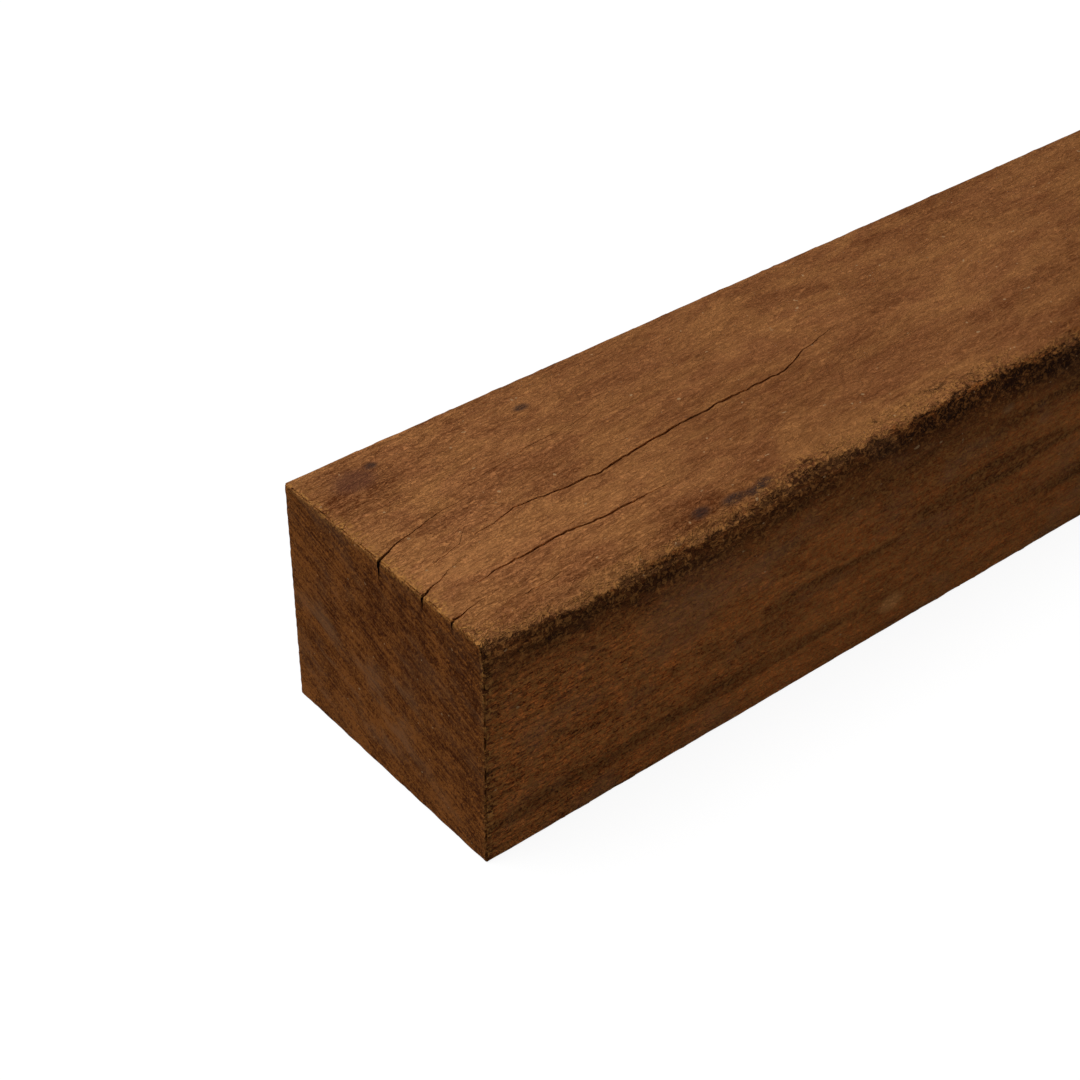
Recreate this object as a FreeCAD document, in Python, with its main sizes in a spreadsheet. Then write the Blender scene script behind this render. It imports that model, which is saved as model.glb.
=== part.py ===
import FreeCAD, Part
import math
import os
import Sketcher

# A sawn hardwood fence post, lying on one of its wide faces, in millimetres.
#
# It is one baulk of dense hardwood: rip-sawn to a rectangle, docked square at both ends, with
# three arrises sharp off the saw. The fourth, top and front, was nearest the bark and has wane:
# an arris that is rounded or missing by an amount that wanders along the post. The docked end
# has drying checks, which are narrow splits that run in from the end along the top face.
#
# Frame: +X along the post, +Y across it, +Z up. The origin is the middle of the face it lies on.
# "along" is measured from the docked end at -X, and "across" from the front face at -Y.

# ---- driving dimensions ---------------------------------------------------------------------

SIZES = {
    "post_length": 2400,
    "post_width": 115,
    "post_height": 100,
    "arris_radius": 0.8,  # the sawn arrises, with their fibres rubbed off
    "cutter_margin": 6,  # how far each cutter stands out past the wood
}

# The wane at stations along the post: how far in it reaches over the top face, how far down the
# front face, and how much its section is crowned out from a plain chamfer.
WANE = [
    # along, over, down, crown
    (0, 5, 7, 1.2),
    (30, 8, 10, 2.1),
    (65, 13, 16, 3.6),
    (100, 12, 14, 3.3),
    (140, 7, 10, 1.9),
    (180, 4, 9, 1.0),
    (220, 3, 13, 0.7),
    (260, 4, 17, 0.9),
    (310, 7, 14, 1.7),
    (400, 5, 8, 1.3),
    (620, 4, 6, 1.0),
    (900, 8, 11, 2.2),
    (1250, 5, 7, 1.2),
    (1600, 9, 12, 2.4),
    (1950, 4, 6, 1.0),
    (2400, 6, 8, 1.4),
]

# The drying checks. Each route is (along, across), from the docked end inwards. A check that is
# open at the end starts there at its full gap, and one that isn't starts and ends at a point.
CHECKS = {
    "left_check": {"route": [(0, 57.5), (26, 65), (56, 69)], "gap": 1.5, "depth": 12, "open": True},
    "middle_check": {"route": [(0, 33), (13, 38), (28, 43)], "gap": 1.2, "depth": 9, "open": True},
    "right_check": {"route": [(0, 17), (15, 20), (31, 21)], "gap": 1.0, "depth": 7, "open": True},
    "long_check": {
        "route": [(29, 48.5), (60, 52), (100, 50.5), (160, 55), (190, 56), (230, 67)],
        "gap": 0.9,
        "depth": 8,
        "open": False,
    },
    "inner_check": {"route": [(15, 27.5), (45, 30), (107, 29.5)], "gap": 0.9, "depth": 7, "open": False},
}


# ---- document and spreadsheet ---------------------------------------------------------------

doc = FreeCAD.newDocument("FencePost")
sheet = doc.addObject("Spreadsheet::Sheet", "Sizes")


def fill_sheet(values):
    """Writes each value in a cell of its own, under its name as the cell's alias."""
    for row, (name, value) in enumerate(values.items(), start=1):
        sheet.set(f"A{row}", name)
        sheet.set(f"B{row}", str(value))
        sheet.setAlias(f"B{row}", name)
    doc.recompute()


def all_sizes():
    """The plain sizes, then the wane's and the checks', which are named by their row or point."""
    values = dict(SIZES)
    for row, station in enumerate(WANE):
        for word, value in zip(("along", "over", "down", "crown"), station):
            values[f"wane_{word}_{row}"] = value
    for name, check in CHECKS.items():
        values[f"{name}_gap"] = check["gap"]
        values[f"{name}_depth"] = check["depth"]
        for point, (along, across) in enumerate(check["route"]):
            values[f"{name}_along_{point}"] = along
            values[f"{name}_across_{point}"] = across
    return values


def size(expression):
    """The number that an expression on the sheet's cells has now."""
    return float(sheet.evalExpression(expression.replace("Sizes.", "")))


fill_sheet(all_sizes())


# ---- sketch helpers -------------------------------------------------------------------------


def plane_of(body, role):
    """One of the body's own origin planes, such as XY_Plane."""
    return next(f for f in body.Origin.OriginFeatures if f.Role == role)


def sketch_on(body, name, role, offset):
    """A sketch on an origin plane, moved by offset: three expressions in the plane's own axes."""
    sketch = body.newObject("Sketcher::SketchObject", name)
    sketch.AttachmentSupport = (plane_of(body, role), [""])
    sketch.MapMode = "FlatFace"
    for axis, expression in zip("xyz", offset):
        sketch.setExpression(f"AttachmentOffset.Base.{axis}", expression)
    return sketch


def pin(sketch, edge, end, place):
    """Holds one end of an edge at a place, given as an expression for each of its coordinates."""
    for kind, expression in zip(("DistanceX", "DistanceY"), place):
        value = size(expression)
        origin, point = (-1, 1), (edge, end)
        if value < 0:
            origin, point, value, expression = point, origin, -value, f"-({expression})"
        number = sketch.addConstraint(Sketcher.Constraint(kind, *origin, *point, value))
        sketch.setExpression(f"Constraints[{number}]", expression)


def draw_outline(sketch, places):
    """A closed run of straight lines through the places, each corner held to its expressions."""
    corners = [FreeCAD.Vector(size(x), size(y), 0) for x, y in places]
    count = len(corners)
    for i in range(count):
        sketch.addGeometry(Part.LineSegment(corners[i], corners[(i + 1) % count]), False)
    for i in range(count):
        sketch.addConstraint(Sketcher.Constraint("Coincident", i, 2, (i + 1) % count, 1))
    for i, place in enumerate(places):
        pin(sketch, i, 1, place)


# ---- the sawn baulk -------------------------------------------------------------------------


def saw_baulk(body):
    """The rectangle off the saw, as long as the post, with its middle at X = 0 and its foot at Z = 0."""
    section = sketch_on(body, "Section", "YZ_Plane", ("0", "0", "0"))
    left, right = "-Sizes.post_width / 2", "Sizes.post_width / 2"
    foot, head = "0", "Sizes.post_height"
    draw_outline(section, [(left, foot), (right, foot), (right, head), (left, head)])
    baulk = body.newObject("PartDesign::Pad", "Baulk")
    baulk.Profile = section
    baulk.setExpression("Length", "Sizes.post_length")
    baulk.Midplane = True
    doc.recompute()
    return baulk


def ease_arrises(body, baulk):
    """Rounds every arris but the long one that the wane takes off."""
    front, head = -size("Sizes.post_width / 2"), size("Sizes.post_height")
    eased = []
    for number, edge in enumerate(baulk.Shape.Edges, start=1):
        middle = edge.CenterOfMass
        if math.hypot(middle.y - front, middle.z - head) > size("Sizes.arris_radius"):
            eased.append(f"Edge{number}")
    arrises = body.newObject("PartDesign::Fillet", "SawnArrises")
    arrises.Base = (baulk, eased)
    arrises.setExpression("Radius", "Sizes.arris_radius")
    doc.recompute()
    return arrises


# ---- the wane -------------------------------------------------------------------------------


def wane_section(body, row):
    """What the wane takes off at one station: the post's corner, cut back to a crowned arc."""
    station = f"Sizes.wane_along_{row} - Sizes.post_length / 2"
    last = len(WANE) - 1
    if row == 0:
        station += " - Sizes.cutter_margin"
    if row == last:
        station = "Sizes.post_length / 2 + Sizes.cutter_margin"
    sketch = sketch_on(body, f"WaneSection{row}", "YZ_Plane", ("0", "0", station))

    over, down, crown = (f"Sizes.wane_{word}_{row}" for word in ("over", "down", "crown"))
    front, head, margin = "-Sizes.post_width / 2", "Sizes.post_height", "Sizes.cutter_margin"
    places = [
        (front, f"{head} - {down}"),
        (f"{front} - {margin}", f"{head} - {down}"),
        (f"{front} - {margin}", f"{head} + {margin}"),
        (f"{front} + {over}", f"{head} + {margin}"),
        (f"{front} + {over}", head),
    ]
    corners = [FreeCAD.Vector(size(x), size(y), 0) for x, y in places]
    for i in range(4):
        sketch.addGeometry(Part.LineSegment(corners[i], corners[i + 1]), False)

    # The arc runs counter-clockwise, from the top face down to the front face.
    side, top = corners[0], corners[4]
    outwards = FreeCAD.Vector(-(top.y - side.y), top.x - side.x, 0).normalize()
    crowned = (side + top) * 0.5 + outwards * size(crown)
    arc = sketch.addGeometry(Part.Arc(top, crowned, side), False)

    for i in range(4):
        sketch.addConstraint(Sketcher.Constraint("Coincident", i, 2, i + 1, 1))
    sketch.addConstraint(Sketcher.Constraint("Coincident", arc, 2, 0, 1))
    for i in range(4):
        pin(sketch, i, 1, places[i])
    pin(sketch, 3, 2, places[4])
    radius = f"({over} * {over} + {down} * {down}) / (8 * {crown}) + {crown} / 2"
    number = sketch.addConstraint(Sketcher.Constraint("Radius", arc, size(radius)))
    sketch.setExpression(f"Constraints[{number}]", radius)
    return sketch


def cut_wane(body):
    """One cut through all the stations, straight from each to the next, along the top front arris."""
    sections = [wane_section(body, row) for row in range(len(WANE))]
    wane = body.newObject("PartDesign::SubtractiveLoft", "Wane")
    wane.Profile = sections[0]
    wane.Sections = sections[1:]
    wane.Ruled = True
    doc.recompute()
    return wane


# ---- the drying checks ----------------------------------------------------------------------


def check_outline(name):
    """The corners of a check seen from above: up one side of its route and back down the other."""
    check = CHECKS[name]
    last = len(check["route"]) - 1
    near_side, far_side = [], []
    for point in range(last + 1):
        along, across = f"Sizes.{name}_along_{point}", f"Sizes.{name}_across_{point}"
        if point == last or (point == 0 and not check["open"]):
            near_side.append((along, across))
            continue
        if point == 0:
            along = f"{along} - Sizes.cutter_margin"
        # An open check is at its full gap at the end of the post, and half of it further in.
        share = 4 if check["open"] and point > 0 else 2
        half_gap = f"Sizes.{name}_gap / {share}"
        near_side.append((along, f"{across} - {half_gap}"))
        far_side.append((along, f"{across} + {half_gap}"))
    return near_side + far_side[::-1]


def split_check(body, name):
    """Cuts one check down from the top face."""
    corner = ("-Sizes.post_length / 2", "-Sizes.post_width / 2", "Sizes.post_height")
    sketch = sketch_on(body, f"{name}_outline", "XY_Plane", corner)
    draw_outline(sketch, check_outline(name))
    doc.recompute()
    before = body.Shape.Volume
    check = body.newObject("PartDesign::Pocket", name)
    check.Profile = sketch
    check.setExpression("Length", f"Sizes.{name}_depth")
    doc.recompute()
    if body.Shape.Volume >= before:
        raise RuntimeError(f"{name} cut nothing")


# ---- the post -------------------------------------------------------------------------------


def make_post():
    """The whole post, in one body: sawn, then its wane and its checks."""
    body = doc.addObject("PartDesign::Body", "FencePost")
    body.Label = "fence_post"
    baulk = saw_baulk(body)
    ease_arrises(body, baulk)
    sawn = body.Shape.Volume
    cut_wane(body)
    if body.Shape.Volume >= sawn:
        raise RuntimeError("the wane cut nothing")
    for name in CHECKS:
        split_check(body, name)
    body.Placement = FreeCAD.Placement()
    return body


def check_document(bodies):
    """Stops if any object failed to build, or a finished shape isn't one valid solid."""
    for item in doc.Objects:
        failed = {"Invalid", "Error"} & set(item.State)
        if failed:
            raise RuntimeError(f"{item.Name} is {failed}")
    for body in bodies:
        shape = body.Shape
        if shape.isNull() or not shape.isValid() or len(shape.Solids) != 1:
            raise RuntimeError(f"{body.Label} isn't one valid solid")


post = make_post()
doc.recompute()
check_document([post])

os.makedirs("parts", exist_ok=True)
post.Shape.exportStep(f"parts/{post.Label}.step")
box = post.Shape.BoundBox
print(post.Label, "volume", round(post.Shape.Volume), "mm3, box", box)
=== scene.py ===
import math

import bpy
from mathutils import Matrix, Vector, noise


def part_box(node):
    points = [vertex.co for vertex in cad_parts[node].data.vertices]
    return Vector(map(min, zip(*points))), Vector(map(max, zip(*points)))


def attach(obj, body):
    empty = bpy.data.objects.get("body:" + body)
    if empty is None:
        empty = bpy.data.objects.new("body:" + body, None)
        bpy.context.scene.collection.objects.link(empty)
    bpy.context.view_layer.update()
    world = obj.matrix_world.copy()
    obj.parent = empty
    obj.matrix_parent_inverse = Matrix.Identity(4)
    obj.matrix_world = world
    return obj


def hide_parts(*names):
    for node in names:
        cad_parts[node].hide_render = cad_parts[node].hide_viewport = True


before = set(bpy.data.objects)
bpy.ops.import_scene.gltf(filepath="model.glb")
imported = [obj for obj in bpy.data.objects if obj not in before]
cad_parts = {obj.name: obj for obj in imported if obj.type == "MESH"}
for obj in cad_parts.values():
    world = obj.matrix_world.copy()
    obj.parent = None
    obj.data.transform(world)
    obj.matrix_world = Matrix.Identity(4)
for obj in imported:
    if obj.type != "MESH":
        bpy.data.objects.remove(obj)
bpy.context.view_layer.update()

bpy.context.scene.view_settings.view_transform = "Standard"


# ---- The post -------------------------------------------------------------------------------
# One baulk of dense red-brown hardwood, sawn on its four sides and docked square. The top front
# arris lay nearest the bark and has wane. The docked end has dried fastest, so checks run into
# the top from there.

# Sizes are in millimetres from the docked end's lower front corner: along the post, across it
# from the front face, and up.
MM = 0.001
low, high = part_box("fence_post")
length, width, height = (high - low) / MM

# The skin is cut into a grid that is finest at the docked end and beside the wane.
rubbed = 0.9  # how far the worn arrises reach


def cut_places(span, fine, fine_to, coarse, growth):
    """Where to cut across a span: fine spacing first, then growing to coarse, and beside each arris."""
    places = [rubbed]
    spacing = fine
    while places[-1] + 1.5 * spacing < span - rubbed:
        places.append(places[-1] + spacing)
        if places[-1] > fine_to:
            spacing = min(coarse, spacing * growth)
    return places + [span - rubbed]


columns = cut_places(length, 2.2, 300, 32, 1.03)
rows_back = cut_places(width, 1.1, 20, 2.3, 1.2)
rows_down = [height - place for place in cut_places(height, 1.1, 24, 1.5, 1.2)]

bpy.ops.object.select_all(action="DESELECT")
bpy.ops.mesh.primitive_cube_add(size=1, calc_uvs=False, location=(low + high) / 2, scale=high - low)
post = bpy.context.object
post.name = "sawn_post"
bpy.ops.object.transform_apply(location=True, rotation=True, scale=True)
bpy.ops.object.mode_set(mode="EDIT")
for axis, places in enumerate((columns, rows_back, rows_down)):
    across_post = Vector((axis == 0, axis == 1, axis == 2))
    for place in places:
        bpy.ops.mesh.select_all(action="SELECT")
        bpy.ops.mesh.bisect(plane_co=low + across_post * place * MM, plane_no=across_post, threshold=1e-6)
bpy.ops.object.mode_set(mode="OBJECT")

# The bake map: the four sawn sides are rows, which give the docked end more room than the rest.
# The two ends lie side by side above them, and the walls of the checks have the last strip.
gutter = 0.004
sides_share, ends_share = 0.80, 0.16
walls_from = sides_share + ends_share + gutter


def bake_along(along):
    """A share of the map's width, with three and a half times the room at the docked end."""
    extra, fade = 2.5, 350
    room = along + extra * fade * (1 - math.exp(-along / fade))
    return room / (length + extra * fade)


def bake_place(facing, sign, along, across, up):
    """Where a point of a face that looks along the axis `facing` goes in the bake map."""
    if facing == 0:
        start = 0 if sign < 0 else 0.5
        u = start + (0.5 - gutter) * across / width
        return u, sides_share + (ends_share - gutter) * up / height
    rows = {(2, 1): (0, width), (1, -1): (width, height), (2, -1): (width + height, width),
            (1, 1): (2 * width + height, height)}
    start, span = rows[facing, sign]
    reach = across if facing == 2 else up
    share = sides_share / (2 * (width + height))
    return bake_along(along), share * (start + reach * (1 - gutter * 2))


bake_map = post.data.uv_layers.new(name="OFBake")
for face in post.data.polygons:
    facing = max(range(3), key=lambda axis: abs(face.normal[axis]))
    sign = 1 if face.normal[facing] > 0 else -1
    for loop in face.loop_indices:
        corner = post.data.vertices[post.data.loops[loop].vertex_index].co
        bake_map.data[loop].uv = bake_place(facing, sign, *(corner - low) / MM)

# The wane at stations along the post: how far in it reaches over the top face, how far down the
# front face, and how much it is crowned out from a plain chamfer.
WANE = [
    # along, over, down, crown
    (0, 5, 7, 1.2),
    (30, 8, 10, 2.1),
    (65, 13, 16, 3.6),
    (100, 12, 14, 3.3),
    (140, 7, 10, 1.9),
    (180, 4, 9, 1.0),
    (220, 3, 13, 0.7),
    (260, 4, 17, 0.9),
    (310, 7, 14, 1.7),
    (400, 5, 8, 1.3),
    (620, 4, 6, 1.0),
    (900, 8, 11, 2.2),
    (1250, 5, 7, 1.2),
    (1600, 9, 12, 2.4),
    (1950, 4, 6, 1.0),
    (2400, 6, 8, 1.4),
]
wane_reach = 24  # the square of the section, at the arris, that the wane changes


def ripple(along, across, up, grain, girth, seed):
    """Smooth noise from 0 to 1, drawn out along the grain."""
    return 0.5 + 0.5 * noise.noise(Vector((along / grain + seed, across / girth, up / girth)))


def between(rows, place):
    """The values of a list of rows at a place, straight from each row to the next."""
    for before, after in zip(rows, rows[1:]):
        if place <= after[0]:
            break
    share = (place - before[0]) / (after[0] - before[0])
    return [a + (b - a) * min(max(share, 0), 1) for a, b in zip(before[1:], after[1:])]


def wane_at(along):
    """The wane there, with its edges nibbled where fibres have torn out."""
    over, down, crown = between(WANE, along)
    torn = ripple(along, 0, 0, 9, 1, 3) + 0.6 * ripple(along, 0, 0, 3.5, 1, 8) - 0.8
    steep = down / over
    over += min(2.0, 0.6 * steep) * torn
    down -= 2.0 * torn
    fullest = 0.45 * math.hypot(over, down) * math.tan(math.atan2(min(over, down), max(over, down)) / 2)
    return over, down, min(crown, fullest)


def waned(back, down_from_top, wane):
    """Moves a point of the section, so far behind the front and below the top, off the lost corner."""
    if back >= wane_reach or down_from_top >= wane_reach:
        return back, down_from_top
    over, down, crown = wane
    inner = Vector((wane_reach, wane_reach))
    ray = Vector((back, down_from_top)) - inner
    share = max(-ray.x, -ray.y) / wane_reach
    if share == 0:
        return back, down_from_top
    skin = inner + ray / share
    on_top = skin.x >= skin.y
    turn = 0.5 + 0.5 * skin.x / over if on_top else 0.5 - 0.5 * skin.y / down
    if 0 < turn < 1:
        side, top = Vector((0, down)), Vector((over, 0))
        outwards = Vector((-down, -over)).normalized()
        middle = (side + top) / 2 + outwards * 2 * crown
        skin = side * (1 - turn) ** 2 + middle * 2 * turn * (1 - turn) + top * turn ** 2
    return inner + (skin - inner) * share


saw_slope = math.radians(18)  # the docking saw's marks fall towards the front
on_skin = 0.1  # a vertex no further than this from a true face is on that face


def relief(facing, along, across, up):
    """How deep the sawn surface lies below the true face there: broad waves, then torn fibres."""
    if facing == 0:
        over_marks = up * math.cos(saw_slope) - across * math.sin(saw_slope)
        marks = 0.5 + 0.5 * math.sin(over_marks * 1.4 + 3 * ripple(0, across, up, 1, 30, 2))
        return 0.14 * marks + 0.3 * ripple(0, across, up, 1, 5, 6)
    waves = 0.3 * ripple(along, across, up, 70, 26, 1)
    fibres = 0.36 * ripple(along, across, up, 9, 3, 5)
    return waves + fibres


def crumbled(along, across, up):
    """How far an arris is rubbed and crumbled back there."""
    crumbs = ripple(along, across, up, 7, 5, 9) + 0.8 * ripple(along, across, up, 3.2, 2.6, 4) - 0.82
    near_corner = along < 1 and across < 1
    return 0.2 + (3.4 if near_corner else 2.4) * max(0, crumbs)


spans = (length, width, height)
for vertex in post.data.vertices:
    place = (vertex.co - low) / MM
    gaps = [min(place[axis], spans[axis] - place[axis]) for axis in range(3)]
    in_wane = place[1] < wane_reach and height - place[2] < wane_reach
    on_arris = sum(gap < on_skin for gap in gaps) > 1 and not (in_wane and gaps[0] > on_skin)
    moved = list(place)
    for axis in range(3):
        if gaps[axis] < on_skin:
            inward = relief(axis, *place) + (crumbled(*place) if on_arris else 0)
            moved[axis] += inward if place[axis] < spans[axis] / 2 else -inward
    wane = wane_at(place[0])
    back, down_from_top = waned(moved[1], height - moved[2], wane)
    # Inside the wane, and fading out beside it, the surface is torn.
    lost = min(1, max(0, 1.9 - back / wane[0] - down_from_top / wane[1]))
    if lost > 0 and place[0] > on_skin and min(gaps[1:]) < on_skin:
        tear = ripple(place[0], back, down_from_top, 6, 3, 12)
        tear += 0.5 * ripple(place[0], back, down_from_top, 3, 2, 7)
        inwards = Vector((wane_reach - back, wane_reach - down_from_top)).normalized()
        back, down_from_top = Vector((back, down_from_top)) + inwards * 0.9 * lost * tear
    vertex.co = low + Vector((moved[0], back, height - down_from_top)) * MM

# The drying checks. Each route is (along, across) from the docked end inwards. A check has its
# full gap and depth at its widest, and closes to nothing where it dies out in the wood.
CHECKS = {
    "left_check": {
        "route": [(-3, 57), (6, 60), (12, 62), (22, 64), (31, 66.6), (45, 67.4), (56, 69)],
        "gap": 2.3,
        "depth": 12,
        "open": True,
    },
    "middle_check": {
        "route": [(-3, 32.5), (4, 34.6), (15, 38.7), (22, 40.6), (28, 43)],
        "gap": 2.2,
        "depth": 9,
        "open": True,
    },
    "right_check": {
        "route": [(-3, 16.5), (7.5, 18.5), (15, 19.7), (23, 20.5), (31, 21)],
        "gap": 1.8,
        "depth": 7,
        "open": True,
    },
    "long_check": {
        "route": [(29, 48.5), (44, 50), (54, 52.6), (73, 50.6), (92, 49.6), (103, 51.4), (130, 54), (160, 55.5),
                  (189, 55.5), (205, 61.5), (230, 67)],
        "gap": 1.25,
        "depth": 8,
        "open": False,
    },
    "inner_check": {
        "route": [(15, 27.5), (28, 29), (43, 29.6), (57, 30.6), (72, 29.1), (89, 29.1), (107, 29.5)],
        "gap": 1.25,
        "depth": 7,
        "open": False,
    },
    # Three hairlines that have only just started.
    "left_hairline": {
        "route": [(48, 74), (64, 75), (82, 78), (104, 79), (124, 83)],
        "gap": 0.5,
        "depth": 2.5,
        "open": False,
    },
    "middle_hairline": {
        "route": [(8, 44), (17, 45.5), (27, 48), (36, 56)],
        "gap": 0.5,
        "depth": 2.5,
        "open": False,
    },
    "right_hairline": {
        "route": [(22, 12.5), (31, 13.5), (41, 14), (52, 16)],
        "gap": 0.55,
        "depth": 2.5,
        "open": False,
    },
}
proud = 1.0  # how far each wedge stands above the top face
wedge_step = 1.8
narrowest = 0.06  # the share of its size that a check dies out at


def wedge_for(check):
    route = check["route"]
    start, end = route[0][0], route[-1][0]
    bpy.ops.object.select_all(action="DESELECT")
    bpy.ops.mesh.primitive_cylinder_add(vertices=3, radius=1, depth=end - start, calc_uvs=False,
                                        rotation=(0, math.pi / 2, 0))
    wedge = bpy.context.object
    bpy.ops.object.transform_apply(location=True, rotation=True, scale=True)
    bpy.ops.object.mode_set(mode="EDIT")
    steps = round((end - start) / wedge_step)
    for step in range(1, steps):
        bpy.ops.mesh.select_all(action="SELECT")
        spot = ((end - start) * (step / steps - 0.5), 0, 0)
        bpy.ops.mesh.bisect(plane_co=spot, plane_no=(1, 0, 0), threshold=1e-6)
    bpy.ops.object.mode_set(mode="OBJECT")
    lowest = min(vertex.co.z for vertex in wedge.data.vertices)
    for vertex in wedge.data.vertices:
        share = vertex.co.x / (end - start) + 0.5
        along = start + (end - start) * share
        # An open check is widest at the docked end, and the others halfway along.
        if check["open"]:
            opening = (1 - share) ** 0.7 * (0.38 + 0.62 * math.exp(-max(along, 0) / 4))
        else:
            opening = (4 * share * (1 - share)) ** 0.6
        opening = max(narrowest, opening * (0.75 + 0.5 * ripple(along, 0, 0, 6, 1, check["depth"])))
        wander = ripple(along, 0, 0, 7, 1, check["gap"] * 10) + 0.8 * ripple(along, 0, 0, 2.6, 1, route[0][1])
        across = between(route, along)[0] + 1.3 * (wander - 0.9)
        if vertex.co.z < lowest + 0.1:
            up = height - check["depth"] * opening
        else:
            up = height + proud
            across += math.copysign(check["gap"] / 2 * opening, vertex.co.y)
        vertex.co = low + Vector((along, across, up)) * MM
    return wedge


wedges = [wedge_for(check) for check in CHECKS.values()]
wall_room = 1 / (2 * len(wedges))
for number, wedge in enumerate(wedges):
    wall_map = wedge.data.uv_layers.new(name="OFBake")
    places = [(vertex.co - low) / MM for vertex in wedge.data.vertices]
    start, end = min(place.x for place in places), max(place.x for place in places)
    deepest = min(place.z for place in places)
    for face in wedge.data.polygons:
        strip = 2 * number + (face.normal.y > 0)
        for loop in face.loop_indices:
            place = places[wedge.data.loops[loop].vertex_index]
            u = wall_room * (strip + 0.96 * (place.x - start) / (end - start))
            v = walls_from + (1 - walls_from - gutter) * (place.z - deepest) / (height + proud - deepest)
            wall_map.data[loop].uv = (u, v)
    bpy.ops.object.select_all(action="DESELECT")
    wedge.select_set(True)
    bpy.context.view_layer.objects.active = wedge
    bpy.ops.object.mode_set(mode="EDIT")
    bpy.ops.mesh.select_all(action="SELECT")
    bpy.ops.mesh.normals_make_consistent(inside=False)
    bpy.ops.object.mode_set(mode="OBJECT")

bpy.ops.object.select_all(action="DESELECT")
post.select_set(True)
bpy.context.view_layer.objects.active = post
for wedge in wedges:
    split = post.modifiers.new("split", "BOOLEAN")
    split.operation = "DIFFERENCE"
    split.solver = "MANIFOLD"
    split.object = wedge
    bpy.ops.object.modifier_apply(modifier=split.name)
    bpy.data.objects.remove(wedge)
bpy.ops.object.shade_smooth_by_angle(angle=math.radians(40))


class Wire:
    """A node's output in a material. Python's operators on wires add Math nodes."""

    def __init__(self, socket):
        self.socket = socket

    def node(self, kind, settings, inputs, output=0):
        """Adds any node to the wire's material: its settings first, then its inputs' values or wires."""
        tree = self.socket.id_data
        made = tree.nodes.new(kind)
        for name, value in settings.items():
            setattr(made, name, value)
        for name, value in inputs.items():
            if isinstance(value, Wire):
                tree.links.new(value.socket, made.inputs[name])
            else:
                made.inputs[name].default_value = value
        return Wire(made.outputs[output])

    def maths(self, operation, first, second=0.0):
        return self.node("ShaderNodeMath", {"operation": operation}, {0: first, 1: second})

    def __add__(self, other):
        return self.maths("ADD", self, other)

    __radd__ = __add__

    def __sub__(self, other):
        return self.maths("SUBTRACT", self, other)

    def __rsub__(self, other):
        return self.maths("SUBTRACT", other, self)

    def __mul__(self, other):
        return self.maths("MULTIPLY", self, other)

    __rmul__ = __mul__

    def __abs__(self):
        return self.maths("ABSOLUTE", self)

    def vector(self, operation, other):
        """A vector or colour, combined with another one by a Vector Math node."""
        return self.node("ShaderNodeVectorMath", {"operation": operation}, {0: self, 1: other})

    def scaled(self, amount):
        """A vector or colour, times a number."""
        return self.node("ShaderNodeVectorMath", {"operation": "SCALE"}, {0: self, "Scale": amount})

    def part(self, axis):
        """One number of a vector: 0, 1 or 2."""
        return self.node("ShaderNodeSeparateXYZ", {}, {0: self}, output=axis)

    def smooth(self, start, end):
        """0 where the wire is at start, 1 where it is at end, and a soft step between."""
        return self.node("ShaderNodeMapRange", {"interpolation_type": "SMOOTHSTEP"},
                         {"Value": self, "From Min": start, "From Max": end})

    def blend(self, colour, other):
        """From one colour, where the wire is 0, to another, where it is 1."""
        return self.node("ShaderNodeMix", {"data_type": "RGBA"}, {0: self, 6: colour, 7: other}, output=2)

    def grain(self, grain, girth, detail=3.0, roughness=0.55, distortion=0.0):
        """Noise from 0 to 1, with figures that long along the grain and that wide across it."""
        stretched = self.vector("MULTIPLY", (1 / grain, 1 / girth, 1 / girth))
        return self.node("ShaderNodeTexNoise", {}, {
            "Vector": stretched, "Scale": 1.0, "Detail": detail, "Roughness": roughness,
            "Distortion": distortion})

    def spot(self, centre, reach):
        """1 at a centre and 0 past an ellipsoid of that reach round it, in millimetres."""
        offset = self.vector("SUBTRACT", centre).vector("DIVIDE", reach)
        distance = self.node("ShaderNodeVectorMath", {"operation": "LENGTH"}, {0: offset}, output=1)
        return distance.smooth(1.0, 0.35)


wood = bpy.data.materials.new("sawn_hardwood")
wood.use_nodes = True
shader = wood.node_tree.nodes["Principled BSDF"]
coordinates = wood.node_tree.nodes.new("ShaderNodeTexCoord")
place = Wire(coordinates.outputs["Object"]).vector("SUBTRACT", tuple(low)).scaled(1 / MM)
along, across, up = (place.part(axis) for axis in range(3))
facing = Wire(coordinates.outputs["Normal"])
end_grain = abs(facing.part(0)).smooth(0.55, 0.8)
on_side = abs(facing.part(1)).smooth(0.74, 0.94) * (1 - end_grain)
on_front = (facing.part(1) * -1).smooth(0.45, 0.75) * (1 - end_grain)

# What every face has: torn fibres, fur, short dark pores and faint drawn-out tones. The grain
# runs a few degrees off the post's length. A face's tone runs from 0, dark, to 1, light.
grain_slope = math.radians(5)
fibre_place = place.node("ShaderNodeVectorRotate", {"rotation_type": "Z_AXIS"},
                         {"Vector": place, "Angle": -grain_slope})
tones = fibre_place.grain(90, 24, detail=4, roughness=0.6, distortion=0.6).smooth(0.32, 0.68)
mottle = fibre_place.grain(11, 5, detail=4, roughness=0.65, distortion=1.2).smooth(0.32, 0.68)
fibres = fibre_place.grain(8, 1.1, detail=2, roughness=0.6, distortion=0.5).smooth(0.32, 0.68)
fur = place.grain(2.4, 1.2, detail=3, roughness=0.65, distortion=1.8).smooth(0.32, 0.68)
pores = fibre_place.grain(6, 0.9, detail=2).smooth(0.60, 0.72) * fibre_place.grain(30, 11).smooth(0.42, 0.6)
dried = along.smooth(170, 0)
fine = (0.36 * (fibres - 0.5) + 0.56 * (fur - 0.5)) * (0.50 + 0.62 * dried)

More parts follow.
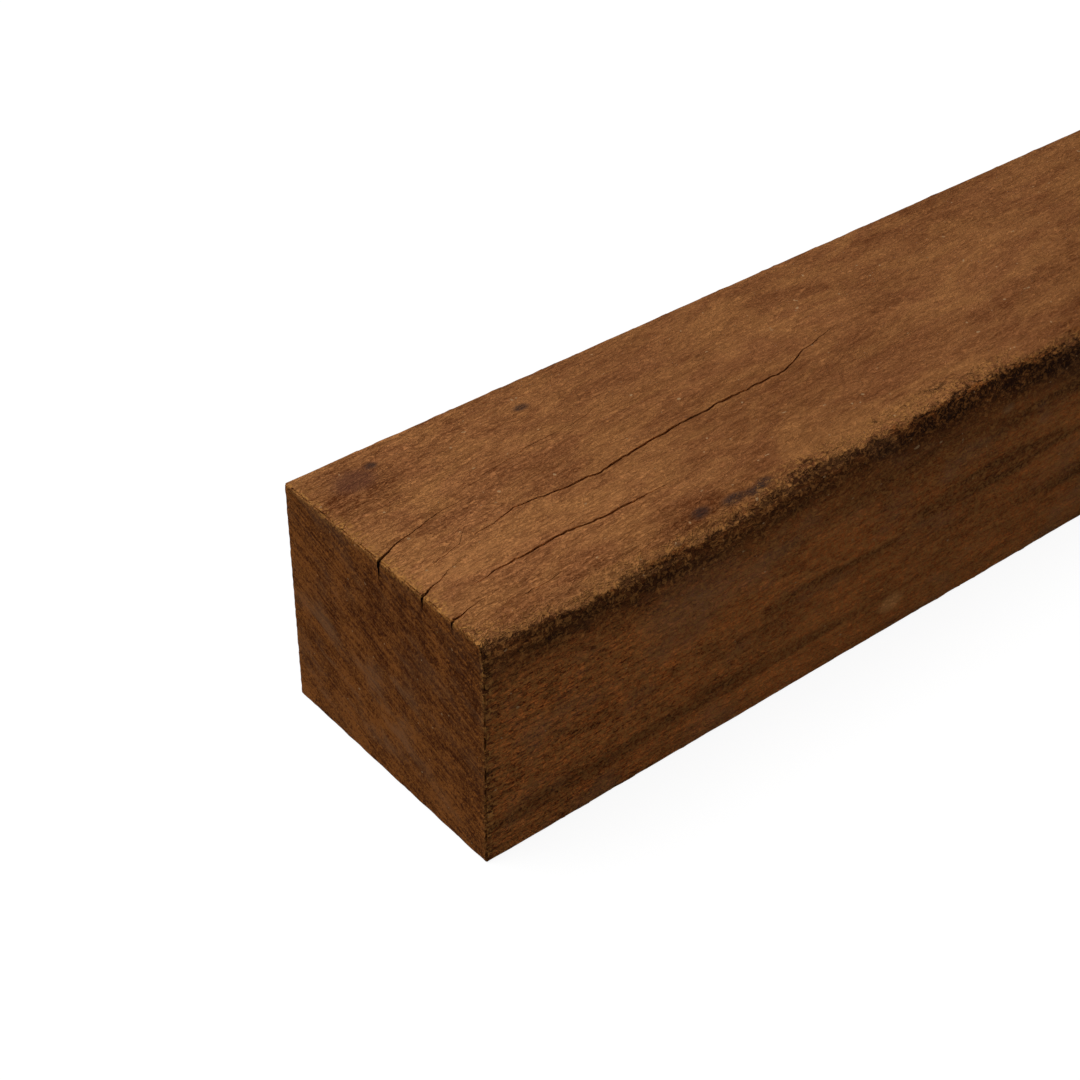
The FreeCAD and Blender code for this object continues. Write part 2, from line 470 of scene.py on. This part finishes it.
# Sawn top: red-brown heartwood, darker and redder in places, golden in others.
casts = fibre_place.grain(44, 17, detail=5, roughness=0.6, distortion=1.0).smooth(0.34, 0.66)
top_tone = 0.50 + fine + 0.18 * (tones - 0.5) + 0.14 * (mottle - 0.5) + 0.22 * (casts - 0.5) + 0.15 * dried
top_tone = top_tone - 0.18 * pores - 0.08 * along.smooth(200, 400)
top_tone = top_tone - 0.22 * place.spot((112, 9, height), (42, 12, 9)) * (0.5 + mottle)
top_tone = top_tone - 0.24 * place.spot((16, 92, height), (26, 24, 9)) * (0.3 + mottle)
top_tone = top_tone + 0.20 * place.spot((34, 42, height), (48, 22, 9)) * mottle
sawn_dark = (0.105, 0.029, 0.0062, 1)
sawn_light = (0.470, 0.198, 0.065, 1)
sawn = top_tone.blend(sawn_dark, sawn_light)
sawn = (0.5 * (1 - casts)).blend(sawn, sawn.vector("MULTIPLY", (0.95, 0.84, 1.02)))

# Blue-black iron stains beside the wane, and a purple one near the rear corner.
stains = sum(place.spot((*spot, height), (reach, 2.8, 9)) for *spot, reach in (
    (104, 10.5, 6), (119, 9.3, 8), (128, 8, 6), (134, 9.5, 5), (89, 4.4, 4), (30, 104, 4), (95, 99, 5)))
iron_stain = (0.035, 0.022, 0.020, 1)
purple_stain = (0.115, 0.042, 0.026, 1)
sawn = (stains * (0.45 + 0.5 * fur)).blend(sawn, iron_stain)
sawn = (0.6 * place.spot((20, 100, height), (13, 9, 9))).blend(sawn, purple_stain)

# Side face: crumbly, with dark bands along the grain, greyish weathered areas and orange ones.
side_dark = (0.062, 0.0115, 0.0019, 1)
side_light = (0.540, 0.178, 0.044, 1)
weathered_grey = (0.270, 0.140, 0.072, 1)
drawn_bands = sum(place.spot((x, 0, z), (reach, 9, girth)) for x, z, reach, girth in (
    (30, 17, 75, 7), (125, 20, 80, 6), (258, 53, 75, 8), (330, 78, 60, 10), (62, 90, 80, 9), (215, 76, 90, 9),
    (330, 30, 80, 8), (165, 45, 60, 6)))
drawn_bands = drawn_bands.smooth(0, 1) * on_front * (0.65 + 0.45 * tones)
bands = fibre_place.grain(140, 7.5, detail=3, roughness=0.6, distortion=0.7).smooth(0.44, 0.66)
side_tone = 0.53 + 1.6 * fine + 0.22 * (mottle - 0.5) + 0.30 * (tones - 0.5)
side = side_tone.blend(side_dark, side_light)
banded = (0.55 * bands + 0.75 * drawn_bands).smooth(0, 1.15)
side = side.scaled(1.25 - 0.78 * banded - 0.24 * along.smooth(150, 400))
side = (0.6 * casts).blend(side, side.vector("MULTIPLY", (1.10, 0.94, 0.82)))
weathered = fibre_place.grain(34, 20, detail=4, roughness=0.6).smooth(0.50, 0.68)
weathered = weathered + on_front * place.spot((95, 0, 72), (34, 9, 20)) * (0.5 + 0.8 * mottle)
side = (0.40 * weathered).blend(side, weathered_grey)

# The front has a pin knot, a pale patch of sap, and painted shade for a short nick in its near arris that the
# mesh doesn't cut.
knot_tan = (0.75, 0.33, 0.11, 1)
sap_pale = (0.45, 0.26, 0.12, 1)
nick_shade_dark = (0.02, 0.006, 0.002, 1)
pin_knot = place.spot((202, 0, 14), (9, 9, 6)) * on_front
sap_patch = place.spot((258, 0, 82), (5, 9, 3)) * on_front
nick_shade = place.spot((3, 0, 43), (7, 9, 1.1)) * on_front
side = (pin_knot * (0.35 + 0.6 * fur)).blend(side, knot_tan)
side = (sap_patch * 0.5).blend(side, sap_pale)
side = (nick_shade * 0.9).blend(side, nick_shade_dark)

# Docked end: fine saw marks that slope down to the front, with paler dust and redder patches.
end_dark = (0.062, 0.0152, 0.0022, 1)
end_light = (0.325, 0.110, 0.0245, 1)
saw_dust = (0.260, 0.128, 0.060, 1)
turned = place.node("ShaderNodeVectorRotate", {"rotation_type": "X_AXIS"},
                    {"Vector": place, "Angle": -saw_slope})
marks = turned.vector("MULTIPLY", (1, 1 / 16, 1)).grain(3, 1.2, detail=2, roughness=0.6, distortion=0.3)
marks = marks.smooth(0.32, 0.68)
smears = turned.vector("MULTIPLY", (1, 1 / 3, 1)).grain(9, 11, detail=4, roughness=0.65).smooth(0.46, 0.68)
blotches = place.grain(19, 17, detail=5, roughness=0.65, distortion=0.8).smooth(0.34, 0.66)
end_tone = 0.48 + 1.35 * fine + 0.55 * (marks - 0.5) + 0.50 * (blotches - 0.5) + 0.10 * (mottle - 0.5)
end_tone = end_tone - 0.0022 * (up - 50) + 0.0012 * (across - 55)
end = end_tone.blend(end_dark, end_light)
smears = smears * (0.5 + 0.7 * place.spot((0, 75, 35), (9, 50, 45)))
end = (0.48 * smears).blend(end, saw_dust)

colour = end_grain.blend(on_side.blend(sawn, side), end)

# Fibres stand up on the worn edges, golden, and the pits between them are painted dark as painted shade.
rim_gold = (0.68, 0.310, 0.080, 1)
pit_shade_dark = (0.030, 0.009, 0.003, 1)
crumbs = place.grain(2.0, 1.5, detail=2, roughness=0.6, distortion=1.0).smooth(0.42, 0.60)
rim = (along + 4 * mottle).smooth(8, 1) * (1 - end_grain)
top_rim = (height - up).smooth(3.5, 0.5)
front_rim = across.smooth(3.5, 0.4) * (0.4 + 0.6 * up.smooth(60, 80))
end_rim = end_grain * (top_rim + front_rim)
colour = (0.75 * crumbs * (rim + 0.7 * end_rim)).blend(colour, rim_gold)
pit_shade = (rim * on_front + 0.7 * end_rim * across.smooth(4, 1)) * (1 - crumbs)
colour = (0.80 * pit_shade).blend(colour, pit_shade_dark)

# The sawn top ends at the wane in a ragged golden edge, with a painted highlight where it turns down, and the
# torn wood below it is painted nearly black as painted shade, darkest between the crumbs.
wane_gold_highlight = (0.42, 0.185, 0.050, 1)
torn_wane_shade = (0.026, 0.008, 0.003, 1)
below = height - up + 1.2 * (0.5 - fur) + 2.6 * (0.5 - mottle)
edge = 1.0 + 5.0 * place.spot((72, 4, height), (80, 60, 60)) + 3 * place.spot((310, 4, height), (60, 60, 60))
near_wane = across.smooth(16, 9) * (1 - end_grain)
golden_highlight = near_wane * (below - edge).smooth(-3.5, -0.5) * crumbs
colour = (0.55 * golden_highlight).blend(colour, wane_gold_highlight)
# Painted shade on the torn face of the wane, darkest between the crumbs.
torn = near_wane * (below - edge).smooth(-0.8, 1.6) * (below - edge).smooth(26, 5)
wane_shade_weight = 0.90 - 0.32 * mottle - 0.42 * crumbs + 0.26 * along.smooth(150, 230)
colour = (torn * wane_shade_weight).blend(colour, torn_wane_shade)

speck_pale = (0.50, 0.30, 0.15, 1)
check_wall_shade = (0.012, 0.005, 0.002, 1)
specks = place.grain(3.2, 2.6, detail=1).smooth(0.755, 0.79) * 0.75
colour = specks.blend(colour, speck_pale)
# Painted shade: the walls of the checks, below the top and between the front and rear faces, are painted near
# black.
inside = (height - up).smooth(0.6, 2.0) * across.smooth(10, 11) * (1 - across.smooth(84, 85)) * on_side
colour = inside.blend(colour, check_wall_shade)

relief_height = 0.5 * fibres + fur + 0.8 * mottle + 0.6 * end_grain * marks
relief_height = relief_height + 1.6 * (rim + torn + golden_highlight) * crumbs
bump = place.node("ShaderNodeBump", {}, {"Height": relief_height, "Distance": 0.0005, "Strength": 0.9})
wood.node_tree.links.new(colour.socket, shader.inputs["Base Color"])
wood.node_tree.links.new((0.78 + 0.14 * fur).socket, shader.inputs["Roughness"])
wood.node_tree.links.new(bump.socket, shader.inputs["Normal"])
shader.inputs["Specular IOR Level"].default_value = 0.03

post.data.materials.clear()
post.data.materials.append(wood)
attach(post, "root")
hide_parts("fence_post")


# ---- The floor ------------------------------------------------------------------------------
# A plain white studio floor. It looks white to the camera and is greyer to the light that
# bounces off it, so that it doesn't light the post from below.

bpy.ops.object.select_all(action="DESELECT")
bpy.ops.mesh.primitive_plane_add(size=40, location=(0, 0, low.z))
floor = bpy.context.object
floor.name = "studio_floor"
bpy.ops.object.transform_apply(location=True, rotation=True, scale=True)
paint = bpy.data.materials.new("floor_paint")
paint.use_nodes = True
floor_shader = paint.node_tree.nodes["Principled BSDF"]
rays = paint.node_tree.nodes.new("ShaderNodeLightPath")
seen = Wire(rays.outputs["Is Camera Ray"]) + Wire(rays.outputs["Is Glossy Ray"])
floor_colour = seen.blend((0.3, 0.3, 0.3, 1), (0.14, 0.14, 0.14, 1))
paint.node_tree.links.new(floor_colour.socket, floor_shader.inputs["Base Color"])
glow = seen.blend((0, 0, 0, 1), (0.9, 0.9, 0.9, 1))
paint.node_tree.links.new(glow.socket, floor_shader.inputs["Emission Color"])
floor_shader.inputs["Emission Strength"].default_value = 1
floor_shader.inputs["Roughness"].default_value = 1
floor_shader.inputs["Specular IOR Level"].default_value = 0
floor.data.materials.append(paint)


# ---- The light ------------------------------------------------------------------------------
# One broad soft lamp high above the docked end, a little behind the post, and an even pale room.

bpy.ops.object.light_add(type="SUN", location=(-2, 1, 4))
lamp = bpy.context.object
lamp.name = "overhead_lamp"
lamp.data.energy = 2.4
lamp.data.angle = math.radians(50)
towards_lamp = Vector((-0.36, 0.24, 0.9))
lamp.rotation_euler = towards_lamp.to_track_quat("Z", "Y").to_euler()

room = bpy.data.worlds.new("pale_room")
bpy.context.scene.world = room
room.use_nodes = True
sky = room.node_tree.nodes["Background"]
world_rays = Wire(room.node_tree.nodes.new("ShaderNodeLightPath").outputs["Is Camera Ray"])
sky_colour = world_rays.blend((0.3, 0.3, 0.3, 1), (1, 1, 1, 1))
room.node_tree.links.new(sky_colour.socket, sky.inputs["Color"])


# ---- The camera -----------------------------------------------------------------------------
# It stands off the docked end's front corner, above the post, and looks down along it.

bpy.ops.object.camera_add(location=(-1.5153, -0.4668, 0.5452))
camera = bpy.context.object
camera.rotation_euler = [math.radians(angle) for angle in (52.14, -0.39, -39.27)]
camera.data.lens = 70.9
camera.data.sensor_width = 36
bpy.context.scene.camera = camera
